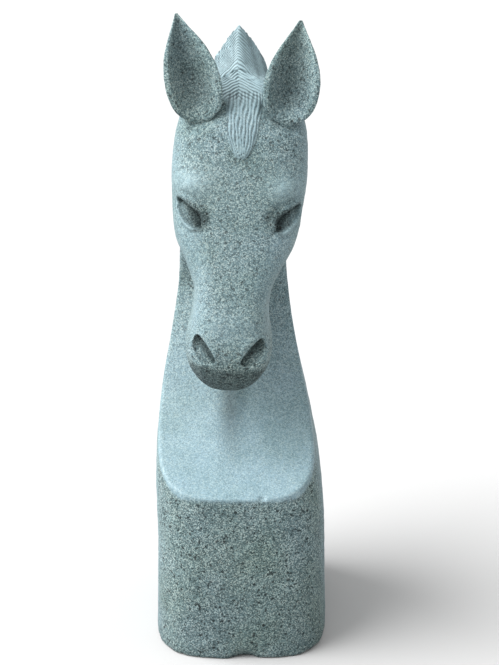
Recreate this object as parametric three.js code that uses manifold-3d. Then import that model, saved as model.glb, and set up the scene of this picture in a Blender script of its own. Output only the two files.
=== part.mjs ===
// Giant chess knight in granite: a rounded block at the foot, a sloping chest, a neck with a
// mane and crest, and a long narrow head with two set-in ears. Four stones, four steel pins.
// Millimetres, +Z up, the horse faces -Y. The origin is in the middle of the underside.

import * as THREE from 'three';
import { ParametricGeometry } from 'three/addons/geometries/ParametricGeometry.js';
import { mergeVertices } from 'three/addons/utils/BufferGeometryUtils.js';
import Module from 'manifold-3d';

const wasm = await Module();
wasm.setup();

// ---------------------------------------------------------------- driving dimensions

const FRONT = -190;             // front of the block at the foot
const GAP = 0.3;                // joint between two stones, and round each pin
const CUTTER = 600;             // reach of a cutting solid past the stone it trims
const CHEST_REACH = 160;        // half width of the solid that cuts the chest

// Block and neck, one level plan section per row: height, half width, back, squareness.
const BODY_SECTIONS = [
  [0, 139.5, 190, 3.8],
  [130, 136.5, 190, 3.8],
  [270, 133.5, 189, 3.6],
  [370, 120.5, 188, 3.1],
  [480, 100, 186, 2.8],
  [570, 88.5, 182, 2.6],
  [700, 80, 171, 2.4],
  [820, 70, 150, 2.2],
  [872, 55, 126, 2.1],
  [898, 36, 104, 2.0],
];

// Chest, cut back from the top edge of the block up to the throat. Its two sides slope back
// from a keel: height, depth of the keel, slope of the sides.
const CHEST_SECTIONS = [
  [249, -240, 0],
  [275, -190, 0],
  [315, -120, 0.05],
  [364, -65, 0.16],
  [432, -26, 0.33],
  [500, -6, 0.46],
  [550, 0, 0.54],
  [580, -10, 0.57],
  [615, -30, 0.6],
  [660, -45, 0.6],
  [1100, -45, 0.6],
];

// Mane: outer ridge and inner root in the middle plane, and half thickness.
// Ridge depth, ridge height, root depth, root height, half thickness.
const MANE_SECTIONS = [
  [-26, 868, 20, 780, 30],
  [8, 889, 30, 775, 36],
  [40, 908, 45, 772, 42],
  [66, 934, 58, 774, 45],
  [90, 966, 72, 780, 48],
  [129, 924, 82, 762, 50],
  [160, 850, 94, 730, 52],
  [181, 740, 108, 672, 52],
  [189, 600, 116, 580, 48],
  [188, 450, 118, 470, 40],
  [180, 330, 118, 380, 30],
];

const MANE_SQUARENESS = 1.15;   // near 1, so that the mane comes to an edge

// Head, one level plan section per row: height, half width, front, back, squareness.
const HEAD_SECTIONS = [
  [437, 14, -142, -120, 2.2],
  [444, 32, -155, -106, 2.4],
  [462, 50, -171, -86, 2.7],
  [485, 63, -182, -62, 2.8],
  [512, 67, -186, -36, 2.8],
  [548, 61, -178, 2, 3.1],
  [590, 63, -163, 20, 3.3],
  [625, 75, -149, 24, 3.2],
  [660, 90, -136, 28, 3.0],
  [710, 101, -119, 34, 3.0],
  [785, 105, -94, 46, 3.0],
  [830, 99, -74, 54, 2.8],
  [862, 84, -48, 60, 2.5],
  [884, 56, -14, 62, 2.2],
  [894, 20, 12, 52, 2.0],
];

// The hand of the carver: how far the neck stands off to the left, and how far the head is
// moved, and tipped about the point where it meets the neck.
const NECK_LEAN = -13;
const KEEL_FOLLOW = 0.45;       // share of that lean which the keel of the chest takes on
const HEAD_TIP = 3.8;           // degrees sideways, poll to the right
const HEAD_SHIFT = -12.5;       // the whole head, to the left
const HEAD_PIVOT = [0, 20, 600];

// Flat joint face between head and neck: where it stands at two heights.
const JOINT_LOW = { depth: -3, height: 560 };
const JOINT_HIGH = { depth: 38, height: 920 };

// Ear leaf, root to tip: share of the length, half width, back bulge, hollow of the front.
const EAR_LEAF = [
  [0, 12, 22, 0],
  [0.15, 12, 30, 0],
  [0.25, 9, 34, 0],
  [0.285, 17, 38, 0],
  [0.32, 26, 42, 3],
  [0.36, 32.5, 44, 9],
  [0.42, 38, 46, 15],
  [0.52, 42, 46, 22],
  [0.62, 42.5, 44, 24],
  [0.72, 38.5, 38, 21],
  [0.82, 30, 31, 16],
  [0.91, 17, 21, 8],
  [1, 3, 9, 0],
];
const EAR_RIM = 0.24;           // thickness of the ear's rim, as a share of its half width
const EARS = {
  left_ear: { side: -1, root: [54, -20, 800], bend: [60, -116, 870], tip: [98, -2, 998] },
  right_ear: { side: 1, root: [63, -20, 800], bend: [72, -116, 864], tip: [92, -2, 987] },
};

const DOWEL = { radius: 8, length: 190, heights: { head_dowel_upper: 775, head_dowel_lower: 665 } };

// Ear pin: depth and height of its two ends, and how far it stands outside the ear's root.
const EAR_PIN = { radius: 4, low: [2, 784], high: [-38, 832], outside: 4 };

const GRANITE = { color: 0x93a6a6, roughness: 0.82, metalness: 0 };
const STEEL = { color: 0xb9bdc1, roughness: 0.34, metalness: 1 };

// ---------------------------------------------------------------- curves and sections

// Smooth curve through the rows of a table: the first column is the place along it.
function through(rows) {
  const places = rows.map((row) => row[0]);
  const slope = (i, column) => {
    const a = rows[Math.max(i - 1, 0)];
    const b = rows[Math.min(i + 1, rows.length - 1)];
    return (b[column] - a[column]) / (b[0] - a[0]);
  };
  return (place, column) => {
    const at = Math.min(Math.max(place, places[0]), places[places.length - 1]);
    let i = 0;
    while (i < places.length - 2 && at > places[i + 1]) i += 1;
    const step = places[i + 1] - places[i];
    const t = (at - places[i]) / step;
    const [p, q] = [rows[i][column], rows[i + 1][column]];
    const [m, n] = [slope(i, column) * step, slope(i + 1, column) * step];
    const bend = (2 * p - 2 * q + m + n) * t - 3 * p + 3 * q - 2 * m - n;
    return (bend * t + m) * t + p;
  };
}

// Rows numbered 0 to 1, so that a curve can double back in any column.
function numbered(rows) {
  return rows.map((row, i) => [i / (rows.length - 1), ...row]);
}

const neckLean = (z) => NECK_LEAN * THREE.MathUtils.smoothstep(z, 150, 450);
const jointDepth = (z) => THREE.MathUtils.mapLinear(
  z, JOINT_LOW.height, JOINT_HIGH.height, JOINT_LOW.depth, JOINT_HIGH.depth);

// A point on a squared-off circle of radius 1. Squareness 2 is round.
function squircle(turn, squareness) {
  const angle = 2 * Math.PI * turn;
  const power = 2 / squareness;
  const reach = (value) => Math.sign(value) * Math.abs(value) ** power;
  return [reach(Math.cos(angle)), reach(Math.sin(angle))];
}

// ---------------------------------------------------------------- solids

// Closed solid through rings: ring(t) gives a function of u in 0..1, t runs 0..1. The first
// and last rows are drawn in to the middle of the end rings, which closes the ends.
function loft(ring, around, along) {
  const rows = along + 2;
  const middle = (points) => {
    const sum = new THREE.Vector3();
    for (let j = 0; j < around; j += 1) sum.add(points(j / around));
    return sum.divideScalar(around);
  };
  const surface = (u, v, target) => {
    const row = Math.round(v * rows);
    const points = ring(THREE.MathUtils.clamp((row - 1) / along, 0, 1));
    const atEnd = row === 0 || row === rows;
    target.copy(atEnd ? middle(points) : points(u % 1));
  };
  return new ParametricGeometry(surface, around, rows);
}

// A geometry with its shared corners merged and its empty triangles dropped, as a solid.
function solid(geometry) {
  const bare = geometry.clone();
  bare.deleteAttribute('normal');
  bare.deleteAttribute('uv');
  const merged = mergeVertices(bare, 1e-4);
  const corners = [];
  const index = merged.index.array;
  for (let i = 0; i < index.length; i += 3) {
    const [a, b, c] = [index[i], index[i + 1], index[i + 2]];
    if (a !== b && b !== c && c !== a) corners.push(a, b, c);
  }
  return new wasm.Manifold(new wasm.Mesh({
    numProp: 3,
    vertProperties: new Float32Array(merged.attributes.position.array),
    triVerts: new Uint32Array(corners),
  }));
}

function geometryOf(manifold) {
  const mesh = manifold.getMesh();
  const geometry = new THREE.BufferGeometry();
  geometry.setAttribute('position', new THREE.BufferAttribute(new Float32Array(mesh.vertProperties), 3));
  geometry.setIndex(new THREE.BufferAttribute(new Uint32Array(mesh.triVerts), 1));
  geometry.computeVertexNormals();
  return geometry;
}

// Loft through level plan sections between two heights.
function stack(sectionAt, low, high, around, along) {
  const ring = (t) => {
    const z = THREE.MathUtils.lerp(low, high, t);
    const s = sectionAt(z);
    return (u) => {
      const [x, y] = squircle(u, s.squareness);
      const depth = (s.front + s.back) / 2 + y * (s.back - s.front) / 2;
      return new THREE.Vector3(s.middle + x * s.halfWidth, depth, z);
    };
  };
  return loft(ring, around, along);
}

function block() {
  const row = through(BODY_SECTIONS);
  const top = BODY_SECTIONS[BODY_SECTIONS.length - 1][0];
  const sectionAt = (z) => ({
    halfWidth: row(z, 1), front: FRONT, back: row(z, 2), squareness: row(z, 3), middle: neckLean(z),
  });
  return solid(stack(sectionAt, 0, top, 56, 22));
}

// Everything in front of the chest: two sloping sides that meet in the keel.
function chestCutter() {
  const row = through(CHEST_SECTIONS);
  const [low, high] = [CHEST_SECTIONS[0][0], 1100];
  const outline = [];
  for (let z = low; z < 670; z += 14) outline.push([row(z, 1), z, row(z, 2)]);
  outline.push([row(high, 1), high, row(high, 2)], [-CUTTER, high, 0], [-CUTTER, low, 0]);
  const ring = (t) => {
    const side = THREE.MathUtils.lerp(-CHEST_REACH, CHEST_REACH, t);
    return (u) => {
      const [y, z, slope] = outline[Math.round(u * outline.length) % outline.length];
      return new THREE.Vector3(side + KEEL_FOLLOW * neckLean(z), y + slope * Math.abs(side), z);
    };
  };
  return solid(loft(ring, outline.length, 12));
}

// A box with one face on the joint between head and neck, lying before it or behind it. It
// reaches down from the low end of the joint by the given depth.
function jointBox(side, gap, below) {
  const run = new THREE.Vector2(JOINT_HIGH.depth - JOINT_LOW.depth, JOINT_HIGH.height - JOINT_LOW.height);
  const box = new THREE.BoxGeometry(2 * CUTTER, CUTTER, 2 * CUTTER);
  box.translate(0, side * (CUTTER / 2 + gap), CUTTER - below);
  box.rotateX(-Math.atan2(run.x, run.y));
  box.translate(0, JOINT_LOW.depth, JOINT_LOW.height);
  return solid(box);
}

function mane() {
  const row = through(numbered(MANE_SECTIONS));
  const ring = (t) => (u) => {
    const [ridgeY, ridgeZ, rootY, rootZ, half] = [1, 2, 3, 4, 5].map((column) => row(t, column));
    const [across, out] = squircle(u, MANE_SQUARENESS);
    const share = (1 + out) / 2;
    const z = THREE.MathUtils.lerp(rootZ, ridgeZ, share);
    return new THREE.Vector3(neckLean(600) * 0.3 - across * half, THREE.MathUtils.lerp(rootY, ridgeY, share), z);
  };
  return solid(loft(ring, 20, 26));
}

function headStack() {
  const row = through(HEAD_SECTIONS);
  const low = HEAD_SECTIONS[0][0];
  const high = HEAD_SECTIONS[HEAD_SECTIONS.length - 1][0];
  const sectionAt = (z) => ({
    halfWidth: row(z, 1), front: row(z, 2), back: row(z, 3), squareness: row(z, 4), middle: 0,
  });
  const tipped = new THREE.Matrix4().makeTranslation(HEAD_SHIFT, ...HEAD_PIVOT.slice(1));
  tipped.multiply(new THREE.Matrix4().makeRotationY(THREE.MathUtils.degToRad(HEAD_TIP)));
  tipped.multiply(new THREE.Matrix4().makeTranslation(...HEAD_PIVOT.map((value) => -value)));
  return solid(stack(sectionAt, low, high, 52, 34).applyMatrix4(tipped));
}

// A leaf along a bent axis: rounded behind, hollow in front, with a thick rim.
function ear({ side, root, bend, tip }, gap) {
  const leaf = through(EAR_LEAF);
  const at = ([x, y, z]) => new THREE.Vector3(side * x, y, z);
  const axis = new THREE.QuadraticBezierCurve3(at(root), at(bend), at(tip));
  const across = new THREE.Vector3(1, 0, 0);
  const arc = 12;
  const ring = (t) => {
    const centre = axis.getPoint(t);
    const along = axis.getTangent(t);
    const behind = new THREE.Vector3().crossVectors(along, across).normalize();
    const sideways = new THREE.Vector3().crossVectors(behind, along).normalize();
    if (t === 0) centre.addScaledVector(along, -gap);
    const half = leaf(t, 1) + gap;
    const bulge = leaf(t, 2) + 2 * gap;
    const hollow = leaf(t, 3);
    const inner = leaf(t, 1) * (1 - EAR_RIM) - gap;
    return (u) => {
      const step = Math.round(u * 2 * arc) % (2 * arc);
      const turn = Math.PI * (step % arc) / (arc - 1);
      const outside = step < arc;
      const reach = outside ? half * Math.cos(turn) : -inner * Math.cos(turn);
      const depth = outside ? bulge * Math.sin(turn) : hollow * Math.sin(turn);
      return centre.clone().addScaledVector(sideways, reach).addScaledVector(behind, depth - gap);
    };
  };
  return solid(loft(ring, 2 * arc, 26));
}

// A straight rod between two points, with a chosen number of sides.
function rod(from, to, radius, spare, sides) {
  const run = new THREE.Vector3().subVectors(to, from);
  const cylinder = new THREE.CylinderGeometry(radius, radius, run.length() + 2 * spare, sides);
  const turn = new THREE.Quaternion().setFromUnitVectors(new THREE.Vector3(0, 1, 0), run.clone().normalize());
  cylinder.applyQuaternion(turn);
  const middle = from.clone().add(to).multiplyScalar(0.5);
  cylinder.translate(middle.x, middle.y, middle.z);
  return solid(cylinder);
}

// ---------------------------------------------------------------- assembly

const knight = new THREE.Group();

function add(name, manifold, finish) {
  const mesh = new THREE.Mesh(geometryOf(manifold), new THREE.MeshStandardMaterial(finish));
  mesh.name = name;
  knight.add(mesh);
}

// Head and mane run through the joint, so each of the two stones carries its side of both.
const skull = headStack();
const hair = mane();
const nape = skull.subtract(jointBox(-1, -GAP / 2, CUTTER));
let body = block().subtract(chestCutter()).add(hair).add(nape).subtract(jointBox(-1, -GAP / 2, 0));
let head = skull.add(hair).subtract(jointBox(1, -GAP / 2, CUTTER));

// Dowels lie square to the joint face, half in each stone.
for (const [name, height] of Object.entries(DOWEL.heights)) {
  const lean = Math.atan2(JOINT_HIGH.depth - JOINT_LOW.depth, JOINT_HIGH.height - JOINT_LOW.height);
  const centre = new THREE.Vector3(0, jointDepth(height), height);
  const reach = new THREE.Vector3(0, Math.cos(lean), -Math.sin(lean)).multiplyScalar(DOWEL.length / 2);
  const [from, to] = [centre.clone().sub(reach), centre.clone().add(reach)];
  const hole = rod(from, to, DOWEL.radius + GAP, 2, 20);
  body = body.subtract(hole);
  head = head.subtract(hole);
  add(name, rod(from, to, DOWEL.radius, 0, 20), STEEL);
}

for (const [name, shape] of Object.entries(EARS)) {
  const [from, to] = [EAR_PIN.low, EAR_PIN.high].map(
    ([y, z]) => new THREE.Vector3(shape.side * (shape.root[0] + EAR_PIN.outside), y, z));
  const hole = rod(from, to, EAR_PIN.radius + GAP, 2, 16);
  head = head.subtract(ear(shape, GAP)).subtract(hole);
  add(name, ear(shape, 0).subtract(hole), GRANITE);
  add(name + '_pin', rod(from, to, EAR_PIN.radius, 0, 16), STEEL);
}

add('body', body, GRANITE);
add('head', head, GRANITE);

export default knight;
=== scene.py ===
"""A giant chess knight hand-carved in grey-green granite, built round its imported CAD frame.

Each stone is described by a field: a function that gives, for any point, its distance outside
the stone in millimetres. The field is turned into a mesh, and the mesh's points are then moved
onto the finished surface with its tool marks. The steel rods keep their CAD shape.
The horse faces -Y. "Left" is the side of -X, which is on the left for a person facing it.
"""

import math
from functools import partial

import bpy
import numpy as np
from mathutils import Euler, Matrix, Vector


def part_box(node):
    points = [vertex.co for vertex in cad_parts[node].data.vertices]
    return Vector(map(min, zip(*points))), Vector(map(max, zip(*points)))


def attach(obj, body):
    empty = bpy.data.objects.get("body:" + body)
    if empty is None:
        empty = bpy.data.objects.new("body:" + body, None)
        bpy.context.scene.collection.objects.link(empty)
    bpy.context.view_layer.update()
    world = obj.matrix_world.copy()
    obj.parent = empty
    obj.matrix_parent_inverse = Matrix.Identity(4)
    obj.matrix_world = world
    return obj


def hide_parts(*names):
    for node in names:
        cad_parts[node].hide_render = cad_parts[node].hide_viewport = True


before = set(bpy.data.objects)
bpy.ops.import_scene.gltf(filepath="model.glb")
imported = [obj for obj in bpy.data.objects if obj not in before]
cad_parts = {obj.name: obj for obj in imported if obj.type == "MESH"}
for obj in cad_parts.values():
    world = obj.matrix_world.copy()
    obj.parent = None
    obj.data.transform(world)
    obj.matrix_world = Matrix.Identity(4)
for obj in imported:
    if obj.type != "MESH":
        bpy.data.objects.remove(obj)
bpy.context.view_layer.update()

MM = 0.001

# ------------------------------------------------------------------ driving dimensions, in mm

FRONT = -190.0          # front of the block at the foot
GAP = 0.3               # joint between two stones, and round each pin

# Block and neck, one level plan section per row: height, half width, back, squareness.
BODY_SECTIONS = [
    (0, 139.5, 190, 3.8),
    (130, 136.5, 190, 3.8),
    (270, 133.5, 189, 3.6),
    (370, 120.5, 188, 3.1),
    (480, 100, 186, 2.8),
    (570, 88.5, 182, 2.6),
    (700, 80, 171, 2.4),
    (820, 70, 150, 2.2),
    (872, 55, 126, 2.1),
    (898, 36, 104, 2.0),
]
BODY_TOP = 898.0

# Chest: height, depth of the keel, backward slope of the two sides.
CHEST_SECTIONS = [
    (249, -240, 0),
    (275, -190, 0),
    (315, -120, 0.05),
    (364, -65, 0.16),
    (432, -26, 0.33),
    (500, -6, 0.46),
    (550, 0, 0.54),
    (580, -10, 0.57),
    (615, -30, 0.6),
    (660, -45, 0.6),
    (1100, -45, 0.6),
]
ARRIS_HEIGHT = 275.0    # the front edge of the chest
NOTCH_RADIUS = 7.5      # a small chip in that edge
KEEL_FOLLOW = 0.45      # share of the neck's lean that the keel takes on

# Ridge of the mane in the middle plane: depth, height. It rises to the crest, then falls.
MANE_RIDGE = [
    (-60, 840),
    (-26, 868),
    (8, 889),
    (40, 908),
    (66, 934),
    (90, 966),
    (129, 924),
    (160, 850),
    (181, 740),
    (189, 600),
    (188, 450),
    (180, 330),
]
CREST_ROW = 5           # the row above that is the tip of the crest
MANE_SLOPE = 0.6        # half width gained per millimetre below the ridge
MANE_HALF = 50.0
MANE_SIDE = -4.0        # the ridge stands off to the left, and its top less so
RIDGE_LEAN = 2.0
MANE_EDGE = 3.0         # the ridge's bluntness at the tip of the crest
MANE_BLUNT = 42.0       # what it gains, at most, just before and behind the tip
HAIR_DEPTH = (62.0, 84.0)       # the strands fade out this far below the ridge
HAIR_FOOT = (300.0, 420.0)      # and at these heights on the back of the neck
STRAND_CUT = 1.7        # depth of the grooves in the mane
POLL_CUT = 1.3          # the same over the poll
STRAND = 5.2            # from one groove to the next on the crest and the poll
LOCK = 11.0             # the same further down the mane
POLL_RUN = 62           # past this distance from the tip, the strands over the poll are wider
FINE_HAIR = 70.0        # where the one gives way to the other, behind the crest's tip

# Head, one level plan section per row: height, half width, front, back, squareness.
HEAD_SECTIONS = [
    (437, 14, -142, -120, 2.2),
    (444, 32, -155, -106, 2.4),
    (462, 50, -171, -86, 2.7),
    (485, 63, -182, -62, 2.8),
    (512, 67, -186, -36, 2.8),
    (548, 61, -178, 2, 3.1),
    (590, 63, -163, 20, 3.3),
    (625, 75, -149, 24, 3.2),
    (660, 90, -136, 28, 3.0),
    (710, 101, -119, 34, 3.0),
    (785, 105, -94, 46, 3.0),
    (830, 99, -74, 54, 2.8),
    (862, 84, -48, 60, 2.5),
    (884, 56, -14, 62, 2.2),
    (894, 20, 12, 52, 2.0),
]
HEAD_LOW, HEAD_TOP = 437.0, 894.0

NECK_LEAN = -13.0       # how far the neck stands off to the left
HEAD_TIP = 3.8          # degrees sideways, poll to the right
HEAD_SHIFT = -12.5      # how far the head stands off to the left
HEAD_PIVOT = (0.0, 20.0, 600.0)         # the point that it is tipped about

# Joint between head and neck: depth and height of two points on its plane.
JOINT_LOW = (-3.0, 560.0)
JOINT_HIGH = (38.0, 920.0)

# Ear leaf, root to tip: share of the length, half width, back bulge, hollow of the front.
EAR_LEAF = [
    (0, 12, 22, 0),
    (0.15, 12, 30, 0),
    (0.25, 9, 34, 0),
    (0.285, 17, 38, 0),
    (0.32, 26, 42, 3),
    (0.36, 32.5, 44, 9),
    (0.42, 38, 46, 15),
    (0.52, 42, 46, 22),
    (0.62, 42.5, 44, 24),
    (0.72, 38.5, 38, 21),
    (0.82, 30, 31, 16),
    (0.91, 17, 21, 8),
    (1, 3, 9, 0),
]
EAR_RIM = 0.2           # thickness of the ear's rim, as a share of its half width
EARS = {
    "left_ear": {"side": -1, "root": (54, -20, 800), "bend": (60, -116, 870), "tip": (98, -2, 998)},
    "right_ear": {"side": 1, "root": (63, -20, 800), "bend": (72, -116, 864), "tip": (92, -2, 987)},
}

DOWEL_RADIUS, DOWEL_LENGTH = 8.0, 190.0
DOWEL_HEIGHTS = (775.0, 665.0)
EAR_PIN_RADIUS = 4.0
EAR_PIN_LOW, EAR_PIN_HIGH = (2.0, 784.0), (-38.0, 832.0)
EAR_PIN_OUTSIDE = 4.0   # how far the pin stands outside the ear's root
EAR_HOLLOW = 1.2        # the ears are hollowed this much deeper than their plain leaf

BODY_VOXEL = 4.6
HEAD_VOXEL = 2.1
EAR_VOXEL = 1.5
EDGE_REACH = 1.0        # points this close to the edge of a joint or a socket are put on it
MARGIN = 24.0           # the space searched for a stone's surface, beyond its CAD box
COARSE_STEP = 4         # the coarse grid's step, in steps of the fine one


# ------------------------------------------------------------------ curves and soft shapes

def through(rows):
    """Smooth curve through the rows of a table. The first column is the place along it."""
    table = np.array(rows, dtype=float)
    places = table[:, 0]
    slopes = np.empty_like(table)
    for i in range(len(table)):
        a, b = max(i - 1, 0), min(i + 1, len(table) - 1)
        slopes[i] = (table[b] - table[a]) / (places[b] - places[a])

    def at(place, column):
        place = np.clip(place, places[0], places[-1])
        i = np.clip(np.searchsorted(places, place, side="right") - 1, 0, len(places) - 2)
        step = places[i + 1] - places[i]
        t = (place - places[i]) / step
        p, q = table[i, column], table[i + 1, column]
        m, n = slopes[i, column] * step, slopes[i + 1, column] * step
        bend = (2 * p - 2 * q + m + n) * t - 3 * p + 3 * q - 2 * m - n
        return (bend * t + m) * t + p

    return at


def rise(value, start, end):
    """0 before start, 1 after end, with a smooth step between them."""
    t = np.clip((value - start) / (end - start), 0, 1)
    return t * t * (3 - 2 * t)


def bump(*parts):
    """1 in the middle and falling away smoothly, each part being a distance over its reach."""
    return np.exp(-sum(part * part for part in parts))


def both(a, b, round_by=0.0):
    """What lies inside both fields, with the edge between them rounded."""
    if not round_by:
        return np.maximum(a, b)
    h = np.clip(0.5 + 0.5 * (a - b) / round_by, 0, 1)
    return b + (a - b) * h + round_by * h * (1 - h)


def either(a, b, round_by=0.0):
    """What lies inside one field or the other, with the corner between them filled."""
    return -both(-a, -b, round_by)


def noise(x, y, z, size, seed):
    """Smooth random values from -1 to 1, with one swell about every `size` millimetres."""
    steps = [np.floor(v / size).astype(np.int64) for v in (x, y, z)]
    parts = [v / size - s for v, s in zip((x, y, z), steps)]
    parts = [t * t * (3 - 2 * t) for t in parts]
    total = 0
    for corner in range(8):
        near = [(corner >> axis) & 1 for axis in range(3)]
        cell = [s + n for s, n in zip(steps, near)]
        mixed = cell[0] * 374761393 + cell[1] * 668265263 + cell[2] * 2147483647 + seed * 1274126177
        mixed = (mixed ^ (mixed >> 13)) * 1274126177 & 0x7FFFFFFF
        mixed = (mixed ^ (mixed >> 16)) & 0xFFFFF
        weight = 1
        for t, n in zip(parts, near):
            weight = weight * (t if n else 1 - t)
        total = total + weight * (mixed / 524287.5 - 1)
    return total


# ------------------------------------------------------------------ fields of the stones

body_row = through(BODY_SECTIONS)
chest_row = through(CHEST_SECTIONS)
head_row = through(HEAD_SECTIONS)
leaf_row = through(EAR_LEAF)


def neck_lean(z):
    return NECK_LEAN * rise(z, 150, 450)


def squared_off(x, y, half, front, back, squareness):
    """Level section of a block with rounded corners."""
    middle, depth = (front + back) / 2, (back - front) / 2
    across = np.abs(x / half) ** squareness
    along = np.abs((y - middle) / depth) ** squareness
    return ((across + along) ** (1 / squareness) - 1) * np.minimum(half, depth)


def true_distance(field, x, y, z):
    """A field scaled by its own steepness, so that it reads in millimetres near the surface."""
    here = field(x, y, z)
    steep = np.sqrt(
        (field(x + 1, y, z) - here) ** 2
        + (field(x, y + 1, z) - here) ** 2
        + (field(x, y, z + 1) - here) ** 2
    )
    return here / np.maximum(steep, 0.25)


def ridge_line():
    """Points along the ridge of the mane and their distance along it from the crest's tip."""
    rows = [(i, *row) for i, row in enumerate(MANE_RIDGE)]
    curve = through(rows)
    places = np.linspace(0, len(rows) - 1, 49)
    points = np.stack([curve(places, 1), curve(places, 2)], axis=1)
    lengths = np.linalg.norm(np.diff(points, axis=0), axis=1)
    run = np.concatenate([[0], np.cumsum(lengths)])
    crest = int(np.argmin(np.abs(places - CREST_ROW)))
    return points, run - run[crest]


RIDGE_POINTS, RIDGE_RUN = ridge_line()


def under_ridge(y, z):
    """How deep a point lies under the ridge of the mane, and where along it."""
    best = np.full(np.shape(y), 1e9)
    depth, run = np.zeros_like(best), np.zeros_like(best)
    for i in range(len(RIDGE_POINTS) - 1):
        a, b = RIDGE_POINTS[i], RIDGE_POINTS[i + 1]
        step = b - a
        length = np.linalg.norm(step)
        t = np.clip(((y - a[0]) * step[0] + (z - a[1]) * step[1]) / length ** 2, 0, 1)
        away_y, away_z = y - a[0] - t * step[0], z - a[1] - t * step[1]
        far = away_y ** 2 + away_z ** 2
        side = step[0] * away_z - step[1] * away_y
        closer = far < best
        best = np.where(closer, far, best)
        depth = np.where(closer, -np.sign(side) * np.sqrt(far), depth)
        run = np.where(closer, RIDGE_RUN[i] + t * length, run)
    return depth, run


def joint_depth(z):
    (low_y, low_z), (high_y, high_z) = JOINT_LOW, JOINT_HIGH
    return low_y + (z - low_z) * (high_y - low_y) / (high_z - low_z)


def rod_field(x, y, z, start, end, radius):
    """A round rod from start to end."""
    start, end = np.array(start, float), np.array(end, float)
    run = end - start
    length = np.linalg.norm(run)
    way = run / length
    away = [x - start[0], y - start[1], z - start[2]]
    along = sum(a * w for a, w in zip(away, way))
    off = np.sqrt(np.maximum(sum(a * a for a in away) - along ** 2, 0))
    return np.maximum(off - radius, np.abs(along - length / 2) - length / 2)


def dowel_ends(height):
    (low_y, low_z), (high_y, high_z) = JOINT_LOW, JOINT_HIGH
    lean = math.atan2(high_y - low_y, high_z - low_z)
    reach = np.array([0, math.cos(lean), -math.sin(lean)]) * (DOWEL_LENGTH / 2 + 2)
    centre = np.array([0, joint_depth(height), height])
    return centre - reach, centre + reach


def drilled(field, x, y, z):
    """The two dowel holes."""
    for height in DOWEL_HEIGHTS:
        field = both(field, -rod_field(x, y, z, *dowel_ends(height), DOWEL_RADIUS + GAP))
    return field


def combed(middle, depth, run):
    """Grooves between locks of hair, parted on the ridge and combed away from the crest's tip."""
    wander = 1.3 * np.sin(run / 15) + 1.5 * np.sin(depth / 7 + np.sign(middle) + run / 23)
    wander = wander + 0.9 * np.sin(middle / 2.7 + run / 9)
    along = np.abs(run) - 0.55 * depth - 0.75 * np.abs(middle) + wander
    along = np.where((run < 0) & (along > POLL_RUN), POLL_RUN + 0.6 * (along - POLL_RUN), along)
    fine = np.where(run < 0, along, np.minimum(along, FINE_HAIR))
    phase = fine / STRAND + (along - fine) / LOCK
    return (0.5 + 0.5 * np.cos(2 * np.pi * phase)) ** 1.3


def on_poll(middle, z):
    """1 on the strands that cross the poll between the ears, 0 away from them."""
    return rise(z, 868, 878) * (1 - rise(np.abs(middle), 28, 40))


def mane_field(x, y, z, fine):
    """The mane is a ridge: sharp at the crest's tip, round before and behind it, sharper below."""
    depth, run = under_ridge(y, z)
    middle = x - MANE_SIDE - RIDGE_LEAN * rise(z, 820, 900)
    blunting = np.clip(0.95 * np.abs(run), 0, MANE_BLUNT) * (1 - 0.85 * rise(run, 60, 180))
    blunt = MANE_EDGE + np.maximum(blunting, 0.04 * np.abs(run))
    spread = np.hypot(middle / MANE_SLOPE, blunt)
    steep = np.hypot(1, middle / MANE_SLOPE ** 2 / spread)
    roof = (spread - blunt - depth) / steep
    if fine:
        hair = rise(depth, 0.5, 5) * (1 - rise(depth, *HAIR_DEPTH)) * rise(z, *HAIR_FOOT)
        roof = roof + STRAND_CUT * hair * combed(middle, depth, run)
    mane = both(roof, np.abs(middle) - MANE_HALF, 12)
    start, onward = RIDGE_POINTS[0], RIDGE_POINTS[1] - RIDGE_POINTS[0]
    onward /= np.linalg.norm(onward)
    before = (start[0] - y) * onward[0] + (start[1] - z) * onward[1] - 3 * np.maximum(y - 60, 0)
    return both(both(mane, before, 6), HAIR_FOOT[0] - z)


def bottom_edge(x, y):
    """How high the broken lower edge of the block reaches, by place round it."""
    ragged = 6 * noise(x, y, 0 * x, 38, 11) + 4 * noise(x, y, 0 * x, 15, 12)
    flake = 15 * bump((x - 2) / 20, (y - FRONT) / 40)
    return np.maximum(ragged + flake + 1.5, 0.6)


def block_plan(x, y, z):
    half, back, squareness = (body_row(z, column) for column in (1, 2, 3))
    return squared_off(x - neck_lean(z), y, half, FRONT, back, squareness)


def chest_plan(x, y, z):
    off = np.sqrt((x - KEEL_FOLLOW * neck_lean(z)) ** 2 + 4) - 2
    return chest_row(z, 1) + chest_row(z, 2) * off - y


def body_field(x, y, z, fine=True):
    block = both(true_distance(block_plan, x, y, z), z - BODY_TOP, 16)
    stone = both(block, true_distance(chest_plan, x, y, z), 2.5)
    joint = joint_depth(z)
    stone = both(stone, joint - 3 * np.maximum(552 - z, 0) - y, 16)
    through_joint = 40 * rise(z, 600, 640)      # the joint itself is cut later, through both
    stone = either(stone, both(skull_field(x, y, z), joint - through_joint - y), 3)
    stone = either(stone, mane_field(x, y, z, fine), 16)
    if fine:
        rough = front_face(x, y, z)
        tooled = 1.0 * noise(x, y, z, 23, 1) + 0.8 * noise(x, y, z, 9, 2) + 0.7 * noise(x, y, z, 4.5, 3)
        pits = 2.6 * rise(noise(x, y, z, 7, 4), 0.45, 0.7)
        honed = 0.5 * noise(x, y, z, 55, 5) + 0.2 * noise(x, y, z, 7, 6)
        stone = stone + rough * (tooled + pits + 0.6) + (1 - rough) * honed
        chipped = (bottom_edge(x, y) - z - 0.9 * -block) * 0.74
        stone = both(stone, chipped, 3)
        notch = np.sqrt((x - 33) ** 2 + (y - FRONT) ** 2 + (z - ARRIS_HEIGHT - 3) ** 2) - NOTCH_RADIUS
        stone = both(stone, -notch, 2)
    return stone


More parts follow.
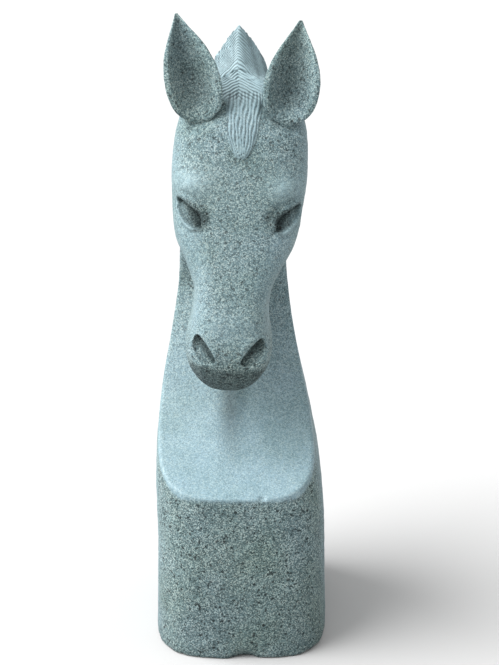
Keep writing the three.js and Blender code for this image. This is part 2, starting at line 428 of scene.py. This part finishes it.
def body_cut(x, y, z):
    """The flat underside, the joint face and the dowel holes."""
    joint = joint_depth(z) - 3 * np.maximum(552 - z, 0) + GAP / 2 - y
    return drilled(both(joint, -z), x, y, z)


def front_face(x, y, z):
    """1 on the rough front of the block, less on its sides, 0 on the chest and the neck."""
    top = ARRIS_HEIGHT - 3 + 0.6 * np.maximum(y + 176, 0)
    return (0.35 + 0.65 * rise(-y, 60, 150)) * (1 - rise(z, top - 6, top + 2))


def ear_axis(ear):
    """Points and directions along the bent axis of an ear."""
    flip = np.array([ear["side"], 1, 1])
    root, bend, tip = (np.array(ear[k], float) * flip for k in ("root", "bend", "tip"))
    t = np.linspace(0, 1, 25)[:, None]
    points = (1 - t) ** 2 * root + 2 * t * (1 - t) * bend + t ** 2 * tip
    along = 2 * (1 - t) * (bend - root) + 2 * t * (tip - bend)
    along /= np.linalg.norm(along, axis=1, keepdims=True)
    behind = np.cross(along, (1.0, 0, 0))
    behind /= np.linalg.norm(behind, axis=1, keepdims=True)
    return points, behind, np.cross(behind, along), along


def ear_place(ear, x, y, z):
    """Where points lie about an ear: share of its length, how far behind, across and along."""
    points, behind, sideways, along = ear_axis(ear)
    best = np.full(np.shape(x), 1e9)
    place = np.zeros_like(best)
    for i in range(len(points) - 1):
        step = points[i + 1] - points[i]
        away = [x - points[i][0], y - points[i][1], z - points[i][2]]
        t = sum(a * s for a, s in zip(away, step)) / (step @ step)
        t = np.clip(t, 0, 1)
        far = sum((a - t * s) ** 2 for a, s in zip(away, step))
        closer = far < best
        best = np.where(closer, far, best)
        place = np.where(closer, i + t, place)
    i = np.clip(place.astype(int), 0, len(points) - 2)
    t = (place - i)[..., None]
    mix = [a[i] * (1 - t) + a[i + 1] * t for a in (points, behind, sideways, along)]
    away = np.stack([x, y, z], axis=-1) - mix[0]
    back, across, lengthwise = (np.sum(away * mix[k], axis=-1) for k in (1, 2, 3))
    return place / (len(points) - 1), back, across, lengthwise


def ear_shade(ear, x, y, z):
    """Painted shade inside an ear: darkest in the middle of the hollow."""
    share, back, across, _ = ear_place(ear, x, y, z)
    inner = np.clip(np.abs(across) / (leaf_row(share, 1) * (1 - EAR_RIM)), 0, 1)
    facing = 1 - rise(back - EAR_HOLLOW * leaf_row(share, 3) * (1 - inner ** 1.6), 2, 7)
    return facing * (1 - inner ** 2.5) * rise(share, 0.3, 0.5)


def ear_field(ear, x, y, z, fine=True):
    share, back, across, lengthwise = ear_place(ear, x, y, z)
    half, bulge, hollow = (leaf_row(share, column) for column in (1, 2, 3))
    outer = (np.sqrt((across / half) ** 2 + (back / bulge) ** 2) - 1) * np.minimum(half, bulge)
    inner = np.clip(np.abs(across) / (half * (1 - EAR_RIM)), 0, 1)
    cup = EAR_HOLLOW * hollow * (1 - inner ** 1.6)
    front = (cup - back) * 0.8
    if fine:
        front = front + 0.35 * noise(x, y, z, 7, 21) + 0.2 * noise(x, y, z, 3.5, 22)
        outer = outer + 0.35 * noise(x, y, z, 9, 23) + 0.5 * noise(x, y, z, 30, 24)
    stone = both(outer, front, 2.2)
    return both(stone, np.abs(lengthwise) - 1.5, 1)


def ear_pin_ends(ear):
    x = ear["side"] * (ear["root"][0] + EAR_PIN_OUTSIDE)
    return (x, *EAR_PIN_LOW), (x, *EAR_PIN_HIGH)


def ear_cut(ear, x, y, z):
    """The hole of the ear's pin."""
    return -rod_field(x, y, z, *ear_pin_ends(ear), EAR_PIN_RADIUS + GAP)


def frame_at(centre, long_way, out_way):
    """Three directions at a place on the head: along, across and out of the surface."""
    out = np.array(out_way, float) / np.linalg.norm(out_way)
    along = np.array(long_way, float)
    along -= out * (along @ out)
    along /= np.linalg.norm(along)
    return np.array(centre, float), along, np.cross(out, along), out


def within(x, y, z, place):
    centre, along, across, out = place
    away = (x - centre[0], y - centre[1], z - centre[2])
    return [sum(a * w for a, w in zip(away, way)) for way in (along, across, out)]


HEAD_ROTATION = np.array(Matrix.Rotation(math.radians(HEAD_TIP), 3, "Y"))


def head_local(x, y, z):
    """The point as it would be if the head stood straight."""
    away = (x - HEAD_SHIFT - HEAD_PIVOT[0], y - HEAD_PIVOT[1], z - HEAD_PIVOT[2])
    turned = [sum(a * HEAD_ROTATION[row, column] for row, a in enumerate(away)) for column in range(3)]
    return [t + p for t, p in zip(turned, HEAD_PIVOT)]


def skull_field(x, y, z):
    """The head without its features."""
    def plan(x, y, z):
        return squared_off(x, y, *(head_row(z, column) for column in (1, 2, 3, 4)))

    hx, hy, hz = head_local(x, y, z)
    skull = both(true_distance(plan, hx, hy, hz), hz - HEAD_TOP, 6)
    return both(skull, HEAD_LOW - hz, 6)


# Middle of each eye and of each nostril. The carver has set the right eye further out.
EYES = {-1: (-74, -101, 707), 1: (79, -97, 708)}
EYE_REACH = 31.0        # half the length of the opening between the lids
NOSTRILS = {-1: (-40, -178, 515), 1: (38, -178, 515)}


def eye_cut(x, y, z, side):
    """Stone taken off round one eye, for its socket, lids and ball. Also its painted shade, and a mask
    of its lower lid for a painted highlight.
    """
    place = frame_at(EYES[side], (side * 0.57, 0.58, 0.58), (side * 0.72, -0.66, 0.22))
    a, b, n = within(x, y, z, place)
    b = b * side
    # The opening is widest near the nose.
    fuller = a + 8 * np.maximum(1 - (a / EYE_REACH) ** 2, 0)
    span = np.maximum(1 - (fuller / EYE_REACH) ** 2, 0) ** 0.6
    upper, lower = 10.5 * span, 9.5 * span
    ends = 1 - rise(np.abs(a), EYE_REACH - 5, EYE_REACH + 7)
    cut = 4.0 * bump(a / 44, (b - 3) / 22)
    cut = cut + 4.0 * bump((a + 18) / 16, (b - 19) / 10)
    opening = (1 - rise(b - upper, -1.0, 1.0)) * (1 - rise(-b - lower, -1.2, 1.2))
    cut = cut + 9.0 * opening * rise(span, 0, 0.3)
    ball = np.sqrt(np.maximum(1 - (a / 25) ** 2 - ((b + 1.5) / 10.5) ** 2, 0))
    cut = cut - 8.5 * ball
    cut = cut - 4.2 * ends * bump((b - upper - 5.5) / 5.5)
    cut = cut + 2.0 * ends * bump((b - upper - 13) / 3.5)
    cut = cut - 4.6 * ends * (1 - 0.5 * rise(a, -10, 20)) * bump((b + lower + 3.8) / 3.6)
    cut = cut + 1.6 * ends * bump((b + lower + 9) / 4)
    cut = cut + 2.2 * bump((a + EYE_REACH + 4) / 8, b / 3)
    # Mask of the lower lid, for a painted highlight.
    lid_highlight = ends * bump((b + lower + 3.8) / 3.6)
    # Painted shadow under the upper lid, in the opening and by the inner corner.
    dark = 0.55 * ends * bump((b - upper + 1) / 7) + 0.3 * opening * rise(span, 0, 0.3)
    dark = dark + 0.75 * bump((a + 19) / 17, (b - 8) / 15)
    near = bump(n / 38)
    return cut * near, np.clip(dark, 0, 1) * near, lid_highlight * near


def nostril_cut(x, y, z, side):
    """Stone taken off for one nostril, deepest on its inner side, with a rim. Also the painted shade
    inside it.
    """
    place = frame_at(NOSTRILS[side], (side * 0.64, 0.2, 0.7), (side * 0.47, -0.86, 0.19))
    a, b, n = within(x, y, z, place)
    b = -b * side
    span = np.maximum(1 - (a / 26) ** 2, 0) ** 0.55
    share = (b - 3.5 * span) / (11.0 * span + 1.2)
    hollow = (1 - rise(np.abs(share), 0.72, 1.15)) * rise(span, 0, 0.3)
    cut = hollow * (10.5 - 5.0 * np.clip(share, -1, 1))
    ends = 1 - rise(np.abs(a), 17, 30)
    cut = cut - 2.0 * ends * bump((share + 1.7) / 0.4)
    cut = cut - 3.8 * ends * bump((share - 1.75) / 0.6)
    # Painted shade inside the nostril.
    dark = hollow * (0.12 + 0.85 * bump((share + 0.3) / 0.55) + 0.5 * rise(a, 0, 18))
    near = bump(n / 30)
    return cut * near, np.clip(dark, 0, 1) * near


# Half width of the rough front of the face, by height. Its sides are honed.
NOSE_PLATE = through([
    (437, 80),
    (540, 72),
    (570, 46),
    (610, 41),
    (650, 48),
    (700, 70),
    (740, 92),
    (894, 100),
])

# Half width of the forelock, by height.
FORELOCK_HALF = through([
    (788, 0.5),
    (796, 10),
    (808, 17),
    (823, 22.5),
    (855, 27),
    (878, 28),
])
FORELOCK_THICK = 4.5
FORELOCK_CUT = 1.9      # depth of the grooves down it


def forelock(x, y, z):
    """The forelock's thickness, and the depth of the grooves cut down it."""
    across = x / FORELOCK_HALF(z, 1)
    ahead = rise(-y, -30, 10) * (1 - rise(z, 866, 888))
    body = np.clip(1 - np.abs(across) ** 3.5, 0, 1) ** 0.6 * rise(z, 787, 800) * ahead
    strand = across * 4.6 + 0.22 * np.sin(z / 13) + 0.15 * np.sin(z / 5 + 9 * across)
    groove = (1 - np.abs(np.sin(np.pi * strand)) ** 0.9) * rise(body, 0.05, 0.4)
    return FORELOCK_THICK * body, FORELOCK_CUT * groove


def sunk_round_ears(stone, x, y, z):
    """The head is hollowed a little round the foot of each ear, which so stands proud of it."""
    high = np.nonzero((z > 770) & (np.abs(stone) < 12))[0]
    if len(high):
        stone = stone.copy()
        for ear in EARS.values():
            away = ear_field(ear, x[high], y[high], z[high], fine=False)
            stone[high] += 5.0 * (1 - rise(away, 0, 15)) * rise(-y[high], 20, 50)
    return stone


def head_field(x, y, z, fine=True):
    hx, hy, hz = head_local(x, y, z)
    stone = skull_field(x, y, z)
    for side in (-1, 1):
        stone = stone + eye_cut(hx, hy, hz, side)[0] + nostril_cut(hx, hy, hz, side)[0]
        brow = bump((hx - side * 74) / 26, (hz - 750) / 17, (hy + 100) / 40)
        temple = bump((hx - side * 84) / 22, (hz - 797) / 24, (hy + 60) / 45)
        cheek = bump((hx - side * 84) / 30, (hz - 655) / 38, (hy + 40) / 40)
        flank = bump((hx - side * 66) / 20, (hz - 585) / 40, (hy + 100) / 50)
        stone = stone - 6 * brow + 3 * temple - 4 * cheek + 3.5 * flank
    muzzle = bump(hx / 60, (hz - 556) / 14, (hy + 175) / 40)
    stone = stone - 2.2 * muzzle
    lock, grooves = forelock(hx, hy, hz)
    stone = stone - lock
    if fine:
        stone = stone + grooves
    stone = either(stone, mane_field(x, y, z, fine), 16)
    if fine:
        depth, run = under_ridge(y, z)
        middle = x - MANE_SIDE - RIDGE_LEAN
        poll = on_poll(middle, z)
        stone = stone + POLL_CUT * poll * combed(middle, np.maximum(depth, 0), run)
        stone = sunk_round_ears(stone, x, y, z)
        stone = stone + 0.45 * noise(x, y, z, 28, 31) + 0.3 * noise(x, y, z, 8, 32)
        stone = stone + 0.22 * noise(x, y, z, 4, 33)
    return stone


def head_cut(x, y, z):
    """The joint face, the dowel holes, the sockets of the ears and the holes of their pins."""
    cut = drilled(y - joint_depth(z) + GAP / 2, x, y, z)
    high = np.nonzero(z > 770)[0]
    if len(high):
        top = cut[high]
        x, y, z = x[high], y[high], z[high]
        for ear in EARS.values():
            top = both(top, GAP - ear_field(ear, x, y, z, fine=False))
            top = both(top, -rod_field(x, y, z, *ear_pin_ends(ear), EAR_PIN_RADIUS + GAP))
        cut[high] = top
    return cut


# ------------------------------------------------------------------ fields to meshes

CORNERS = np.array([(i, j, k) for i in (0, 1) for j in (0, 1) for k in (0, 1)])
EDGES = [
    (a, b) for a in range(8) for b in range(a + 1, 8) if np.abs(CORNERS[a] - CORNERS[b]).sum() == 1
]


def sampled(field, low, high, voxel):
    """The field on a grid of points. Far from the surface, a coarse grid's values stand in."""
    ratio = COARSE_STEP
    cells = [int(math.ceil((b - a) / (voxel * ratio))) for a, b in zip(low, high)]
    axes = [a + voxel * ratio * np.arange(n + 1) for a, n in zip(low, cells)]
    grid = np.meshgrid(*axes, indexing="ij")
    coarse = field(*[g.ravel() for g in grid], fine=False).reshape(grid[0].shape)
    fine_axes = [a + voxel * np.arange(n * ratio + 1) for a, n in zip(low, cells)]
    nearest = [
        np.clip((np.arange(len(a)) + ratio // 2) // ratio, 0, n) for a, n in zip(fine_axes, cells)
    ]
    values = coarse[np.ix_(*nearest)]
    near = np.nonzero(np.abs(values) < voxel * ratio * 2.2)
    values[near] = field(*[a[i] for a, i in zip(fine_axes, near)], fine=False)
    return values, fine_axes


def surface_net(field, low, high, voxel):
    """Quads round the zero level: one point in each cell that the surface passes through."""
    values, axes = sampled(field, low, high, voxel)
    inside = values < 0
    count = np.zeros([n - 1 for n in inside.shape], dtype=np.int8)
    for i, j, k in CORNERS:
        count += inside[i:i + count.shape[0], j:j + count.shape[1], k:k + count.shape[2]]
    cells = np.argwhere((count > 0) & (count < 8))
    at_corner = np.stack([values[tuple((cells + corner).T)] for corner in CORNERS], axis=1)
    total, crossings = np.zeros((len(cells), 3)), np.zeros(len(cells))
    for a, b in EDGES:
        va, vb = at_corner[:, a], at_corner[:, b]
        cross = (va < 0) != (vb < 0)
        share = np.where(cross, va / np.where(cross, va - vb, 1), 0)
        point = CORNERS[a] + share[:, None] * (CORNERS[b] - CORNERS[a])
        total += np.where(cross[:, None], point, 0)
        crossings += cross
    points = np.array(low) + voxel * (cells + total / crossings[:, None])
    number = np.full(count.shape, -1)
    number[tuple(cells.T)] = np.arange(len(cells))
    quads = []
    for axis in range(3):
        first = np.take(inside, range(inside.shape[axis] - 1), axis=axis)
        second = np.take(inside, range(1, inside.shape[axis]), axis=axis)
        for leaving in (True, False):
            at = np.argwhere((first & ~second) if leaving else (~first & second))
            u, v = np.eye(3, dtype=int)[(axis + 1) % 3], np.eye(3, dtype=int)[(axis + 2) % 3]
            ring = [number[tuple((at - shift).T)] for shift in (u + v, v, 0 * u, u)]
            quads.append(np.stack(ring if leaving else ring[::-1], axis=1))
    return points, np.concatenate(quads)


def settle(points, field, voxel, rounds=4):
    """Moves the points onto the finished surface, along the field's own slope."""
    step = 0.25 * voxel
    for _ in range(rounds):
        x, y, z = points.T
        here = field(x, y, z)
        slope = np.stack(
            [
                field(x + step, y, z) - field(x - step, y, z),
                field(x, y + step, z) - field(x, y - step, z),
                field(x, y, z + step) - field(x, y, z - step),
            ],
            axis=1,
        ) / (2 * step)
        steep = np.maximum((slope ** 2).sum(axis=1), 0.2)
        move = -(here / steep)[:, None] * slope
        reach = np.linalg.norm(move, axis=1, keepdims=True)
        points = points + move * np.minimum(1, voxel / np.maximum(reach, 1e-9))
    return points


def stone_object(name, field, cut, box, voxel, finer=()):
    """The mesh of one stone. Each of `finer` names a part of it whose faces are split in four."""
    def whole(x, y, z, fine=True):
        return both(field(x, y, z, fine), cut(x, y, z))

    low, high = [np.array(corner, float) for corner in box]
    points, quads = surface_net(whole, low - MARGIN, high + MARGIN, voxel)
    rest = []
    for chosen in finer:
        points, quads, rest = split_faces(points, quads, rest, chosen)
    points = settle(points, whole, voxel)
    sides = [np.abs(side(*points.T)) < EDGE_REACH for side in (field, cut)]
    edge = np.nonzero(sides[0] & sides[1])[0]
    for _ in range(3):
        for side in (field, cut):
            points[edge] = settle(points[edge], side, voxel, rounds=1)
    mesh = bpy.data.meshes.new(name)
    mesh.from_pydata((points * MM).tolist(), [], quads.tolist() + rest)
    mesh.shade_smooth()
    mesh.update()
    obj = bpy.data.objects.new(name, mesh)
    bpy.context.collection.objects.link(obj)
    return obj, points


def split_faces(points, quads, rest, chosen):
    """Splits the chosen quads in four. A face beside them takes their new points into its outline."""
    picked = chosen(*points[quads].mean(axis=1).T)
    inner = quads[picked]
    pairs = np.sort(np.stack([inner, np.roll(inner, -1, axis=1)], axis=-1), axis=-1)
    edges, place = np.unique(pairs.reshape(-1, 2), axis=0, return_inverse=True)
    halves = len(points) + place.reshape(-1, 4)
    centres = len(points) + len(edges) + np.arange(len(inner))
    half_of = {(a, b): len(points) + i for i, (a, b) in enumerate(edges.tolist())}
    points = np.concatenate([points, points[edges].mean(axis=1), points[inner].mean(axis=1)])
    fresh = [np.stack([inner[:, i], halves[:, i], centres, halves[:, i - 1]], axis=1) for i in range(4)]
    kept = quads[~picked]
    beside = np.isin(kept, edges).sum(axis=1) > 1
    outlines = []
    for face in rest + kept[beside].tolist():
        outline = []
        for a, b in zip(face, face[1:] + face[:1]):
            outline.append(a)
            if (min(a, b), max(a, b)) in half_of:
                outline.append(half_of[min(a, b), max(a, b)])
        outlines.append(outline)
    return points, np.concatenate([kept[~beside], *fresh]), outlines


def paint(obj, name, values):
    """One number per point, which the material reads."""
    layer = obj.data.attributes.new(name, "FLOAT", "POINT")
    layer.data.foreach_set("value", np.asarray(values, dtype=np.float32))


# ------------------------------------------------------------------ materials

def node(tree, kind, **settings):
    """A new node. A setting is one of its inputs, or else one of its own properties."""
    made = tree.nodes.new(kind)
    for key, value in settings.items():
        if key in made.inputs:
            made.inputs[key].default_value = value
        else:
            setattr(made, key, value)
    return made


def feed(tree, value, socket):
    """Links an output to an input, or sets the input where the value is a plain one."""
    if isinstance(value, bpy.types.NodeSocket):
        tree.links.new(value, socket)
    else:
        socket.default_value = value


def colour(red, green, blue):
    """A colour as it reads on a screen, 0 to 255, in the linear values that nodes use."""
    def linear(value):
        value /= 255
        return value / 12.92 if value <= 0.04045 else ((value + 0.055) / 1.055) ** 2.4
    return (linear(red), linear(green), linear(blue), 1)


def granite(name):
    """Grey-green granite: grains of several minerals, paler where honed and darker where rough, with
    painted shade and painted light read from per-point attributes.
    """
    mat = bpy.data.materials.new(name)
    mat.use_nodes = True
    tree = mat.node_tree
    link = tree.links.new
    shader = tree.nodes["Principled BSDF"]
    place = node(tree, "ShaderNodeTexCoord").outputs["Object"]
    # The first attribute is the finish, the second painted shade, the third painted light.
    rough, hollow, painted_light = (
        node(tree, "ShaderNodeAttribute", attribute_name=painted).outputs["Fac"]
        for painted in ("rough", "hollow", "painted_light")
    )

    def ranged(value, low, high, start=0.0, end=1.0):
        """Goes from low to high while the value goes from start to end."""
        ramp = node(tree, "ShaderNodeMapRange")
        link(value, ramp.inputs["Value"])
        for field, number in (("From Min", start), ("From Max", end), ("To Min", low), ("To Max", high)):
            ramp.inputs[field].default_value = number
        return ramp.outputs[0]

    def grains(size, low, high, bend=0.4):
        """1 inside some grains of about this size, in metres, and 0 in the others."""
        warp = node(tree, "ShaderNodeTexNoise", Scale=0.9 / size, Detail=1.0)
        link(place, warp.inputs["Vector"])
        shift = node(tree, "ShaderNodeVectorMath", operation="SCALE", Scale=size * bend)
        link(warp.outputs["Color"], shift.inputs[0])
        moved = node(tree, "ShaderNodeVectorMath", operation="ADD")
        link(place, moved.inputs[0])
        link(shift.outputs[0], moved.inputs[1])
        cells = node(tree, "ShaderNodeTexVoronoi", Scale=1 / size)
        link(moved.outputs[0], cells.inputs["Vector"])
        part = node(tree, "ShaderNodeSeparateColor")
        link(cells.outputs["Color"], part.inputs[0])
        return ranged(part.outputs[0], 0, 1, low, high)

    def clouds(scale):
        """Wide soft patches, 0 to 1."""
        cloud = node(tree, "ShaderNodeTexNoise", Scale=scale, Detail=3.0)
        link(place, cloud.inputs["Vector"])
        return ranged(cloud.outputs["Fac"], 0, 1, 0.35, 0.65)

    def mix(factor, a, b, kind="MIX"):
        made = node(tree, "ShaderNodeMix", data_type="RGBA", blend_type=kind)
        for value, index in ((factor, 0), (a, 6), (b, 7)):
            feed(tree, value, made.inputs[index])
        return made.outputs[2]

    def times(a, b):
        made = node(tree, "ShaderNodeMath", operation="MULTIPLY")
        feed(tree, a, made.inputs[0])
        feed(tree, b, made.inputs[1])
        return made.outputs[0]

    feldspar = grains(0.0020, 0.35, 0.75)
    dark = grains(0.0016, 0.72, 0.80)
    pale = grains(0.0014, 0.70, 0.80)
    big_dark = grains(0.0036, 0.95, 0.97, 0.6)

    honed = mix(feldspar, colour(108, 132, 141), colour(120, 144, 154))
    worked = mix(feldspar, colour(75, 94, 98), colour(101, 122, 126))
    base = mix(rough, honed, worked)
    base = mix(times(dark, ranged(rough, 0.24, 0.85)), base, colour(36, 50, 52))
    base = mix(times(pale, ranged(rough, 0.34, 0.58)), base, colour(172, 188, 188))
    base = mix(times(big_dark, times(rough, 0.85)), base, colour(26, 36, 38))

    base = mix(times(clouds(16.0), 0.3), base, colour(150, 176, 168), "MULTIPLY")
    base = mix(times(clouds(9.0), ranged(rough, 0.25, 0.65)), base, colour(255, 253, 240), "MULTIPLY")
    # Painted light: paler where light would catch.
    base = mix(times(painted_light, 0.5), base, colour(158, 182, 188))
    # Painted shade: darker where shade would fall. On the body it also darkens the block towards its
    # foot.
    base = mix(times(hollow, 0.9), base, colour(70, 86, 88), "MULTIPLY")
    link(base, shader.inputs["Base Color"])

    link(ranged(rough, 0.55, 0.9), shader.inputs["Roughness"])
    shader.inputs["Specular IOR Level"].default_value = 0.35

    pitted = node(tree, "ShaderNodeTexNoise", Scale=420.0, Detail=4.0, Roughness=0.65)
    link(place, pitted.inputs["Vector"])
    relief = node(tree, "ShaderNodeBump", Distance=0.0012)
    link(ranged(rough, 0.12, 0.87), relief.inputs["Strength"])
    link(pitted.outputs["Fac"], relief.inputs["Height"])
    link(relief.outputs[0], shader.inputs["Normal"])
    return mat


def drawn_steel():
    """Stainless rod with fine lines along it."""
    mat = bpy.data.materials.new("drawn_steel")
    mat.use_nodes = True
    tree = mat.node_tree
    shader = tree.nodes["Principled BSDF"]
    place = node(tree, "ShaderNodeTexCoord").outputs["Object"]
    lines = node(tree, "ShaderNodeTexNoise", Scale=900.0, Detail=3.0)
    tree.links.new(place, lines.inputs["Vector"])
    tint = node(tree, "ShaderNodeMix", data_type="RGBA")
    tree.links.new(lines.outputs["Fac"], tint.inputs[0])
    tint.inputs[6].default_value = colour(168, 172, 176)
    tint.inputs[7].default_value = colour(208, 211, 214)
    tree.links.new(tint.outputs[2], shader.inputs["Base Color"])
    gloss = node(tree, "ShaderNodeMapRange")
    tree.links.new(lines.outputs["Fac"], gloss.inputs["Value"])
    gloss.inputs["To Min"].default_value = 0.25
    gloss.inputs["To Max"].default_value = 0.5
    tree.links.new(gloss.outputs[0], shader.inputs["Roughness"])
    shader.inputs["Metallic"].default_value = 1.0
    relief = node(tree, "ShaderNodeBump", Distance=0.0001, Strength=0.3)
    tree.links.new(lines.outputs["Fac"], relief.inputs["Height"])
    tree.links.new(relief.outputs[0], shader.inputs["Normal"])
    return mat


# ------------------------------------------------------------------ the stones

def box_of(name):
    low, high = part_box(name)
    return np.array(low) / MM, np.array(high) / MM


def paint_body(obj, x, y, z):
    """Tones of the body: painted light on the mane, painted shade in its grooves, a painted shadow of
    the chin on the chest, and the block darker towards its foot.
    """
    depth, run = under_ridge(y, z)
    middle = x - MANE_SIDE
    hair = rise(z, *HAIR_FOOT) * (1 - rise(depth, *HAIR_DEPTH))
    hair = hair * rise(y, 20, 30) * (1 - rise(np.abs(middle), 42, 52))
    neck = 0.35 * rise(z, 330, 480) + 0.35 * rise(z, 450, 560) * (1 - rise(z, 570, 700))
    neck = neck * (1 - 0.5 * rise(y, 30, 120))
    foot = 0.2 * (1 - rise(z, 0, 230))
    # Painted shadow of the chin on the chest.
    chin_shadow = bump((x + 17) / 19, (z - 385) / 60) * rise(-y, -60, 0)
    # Painted shade in the mane's grooves and under the chin, and the block darker towards its foot.
    dark = 0.85 * hair * combed(middle, depth, run) + 0.75 * chin_shadow + foot
    paint(obj, "rough", np.clip(front_face(x, y, z) + neck * (1 - hair), 0, 1))
    paint(obj, "hollow", np.clip(dark, 0, 1))
    # Painted light on the mane near its ridge.
    paint(obj, "painted_light", hair * (1 - rise(depth, 30, 60)))


def paint_head(obj, x, y, z):
    """Tones of the head: painted shade in the grooves, eyes and nostrils and under the chin, and painted
    light on the poll, forelock, brows and lower lids.
    """
    hx, hy, hz = head_local(x, y, z)
    depth, run = under_ridge(y, z)
    middle = x - MANE_SIDE
    lock, grooves = forelock(hx, hy, hz)
    plate = NOSE_PLATE(hz, 1)
    brows = bump((np.abs(hx) - 74) / 30, (hz - 752) / 20)
    worked = 0.38 + 0.35 * rise(-hy, 0, 60) * (1 - rise(np.abs(hx), plate - 16, plate + 10))
    worked = worked * (1 - 0.4 * bump((hz - 548) / 20)) * (1 - 0.5 * brows)
    # Painted shade: the underside of the chin is made rougher, and so darker.
    worked = worked + 0.25 * (1 - rise(hz, 486, 510))
    worked = worked * (1 - 0.8 * rise(lock, 0.5, 3))
    poll = on_poll(middle, z)
    # Painted shade in the grooves of the forelock and the poll, under the chin, in the eyes and in the
    # nostrils.
    shade = np.clip(grooves / FORELOCK_CUT, 0, 1)
    shade = shade + 0.85 * poll * combed(middle, np.maximum(depth, 0), run)
    shade = shade + 0.65 * (1 - rise(hz, 478, 491))
    # Painted light on the poll, the forelock and the brows, and below on the lower lids.
    light_mask = poll + 0.4 * rise(lock, 0.5, 3) + 0.35 * brows * rise(-hy, 40, 80)
    for side in EYES:
        _, dark, lid_highlight = eye_cut(hx, hy, hz, side)
        shade = shade + dark + nostril_cut(hx, hy, hz, side)[1]
        light_mask = light_mask + 0.6 * lid_highlight
    # Lower on the head, the painted shade also makes the finish rougher, and so darker.
    paint(obj, "rough", np.clip(worked * (1 - 0.8 * poll) + 0.6 * shade * (hz < 780), 0, 1))
    paint(obj, "painted_light", np.clip(light_mask, 0, 1))
    paint(obj, "hollow", np.clip(shade, 0, 1))


def paint_ear(obj, ear, x, y, z):
    """Tones of an ear: evenly rough, with painted shade in its hollow."""
    paint(obj, "rough", 0.8 + 0 * x)
    paint(obj, "hollow", 0.52 * ear_shade(ear, x, y, z))
    paint(obj, "painted_light", 0 * x)


granite_look = granite("granite")

body, points = stone_object(
    "body_stone", body_field, body_cut, box_of("body"), BODY_VOXEL,
    finer=[
        lambda x, y, z: (under_ridge(y, z)[0] < 78) & (z > 380),
        lambda x, y, z: (z > 855) | ((y < -150) & (np.abs(z - ARRIS_HEIGHT) < 24)),
    ],
)
paint_body(body, *points.T)

head, points = stone_object(
    "head_stone", head_field, head_cut, box_of("head"), HEAD_VOXEL,
    finer=[lambda x, y, z: (z > 780) & (np.abs(x) < 40)],
)
paint_head(head, *points.T)

ears = {}
for name, ear in EARS.items():
    ears[name], points = stone_object(
        name + "_stone", partial(ear_field, ear), partial(ear_cut, ear), box_of(name), EAR_VOXEL,
    )
    paint_ear(ears[name], ear, *points.T)

for obj, replaced, slot in (
    (body, "body", "granite_body"),
    (head, "head", "granite_head"),
    (ears["left_ear"], "left_ear", "granite_ears"),
    (ears["right_ear"], "right_ear", "granite_ears"),
):
    obj.data.materials.append(granite_look)
    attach(obj, "root")
    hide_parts(replaced)

steel = drawn_steel()
for name in ("head_dowel_upper", "head_dowel_lower", "left_ear_pin", "right_ear_pin"):
    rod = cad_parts[name]
    rod.data.materials.clear()
    rod.data.materials.append(steel)

# ------------------------------------------------------------------ floor, light and camera

KEY_DIRECTION = (0.69, 0.11, -0.71)     # the way the light falls: from the upper left
KEY_SOFTNESS = 60                       # degrees across, so that shadows are soft
CAMERA_PLACE = (0, -2.9, 1.45)          # metres
CAMERA_DOWN, CAMERA_RIGHT = 18.397, 0.27        # degrees that it looks down and to the right

bpy.ops.mesh.primitive_plane_add(size=40, location=(0, 0, -0.0005))
floor = bpy.context.object
floor.name = "floor"
pale_floor = bpy.data.materials.new("pale_floor")
pale_floor.use_nodes = True
floor_shader = pale_floor.node_tree.nodes["Principled BSDF"]
floor_shader.inputs["Base Color"].default_value = (0.4, 0.4, 0.4, 1)
floor_shader.inputs["Roughness"].default_value = 0.9
floor.data.materials.append(pale_floor)

world = bpy.data.worlds.new("studio")
bpy.context.scene.world = world
world.use_nodes = True
background = world.node_tree.nodes["Background"]
background.inputs["Color"].default_value = (1, 1, 1, 1)
background.inputs["Strength"].default_value = 1.0

key_data = bpy.data.lights.new("key", "SUN")
key_data.energy = 7.0
key_data.angle = math.radians(KEY_SOFTNESS)
key = bpy.data.objects.new("key", key_data)
key.rotation_euler = Vector(KEY_DIRECTION).to_track_quat("-Z", "Y").to_euler()
bpy.context.collection.objects.link(key)

camera_data = bpy.data.cameras.new("camera")
camera_data.lens = 102.8
camera_data.sensor_width = 36
camera = bpy.data.objects.new("camera", camera_data)
camera.location = CAMERA_PLACE
camera.rotation_euler = Euler((math.radians(90 - CAMERA_DOWN), 0, math.radians(-CAMERA_RIGHT)))
bpy.context.collection.objects.link(camera)
bpy.context.scene.camera = camera
bpy.context.scene.view_settings.view_transform = "Standard"
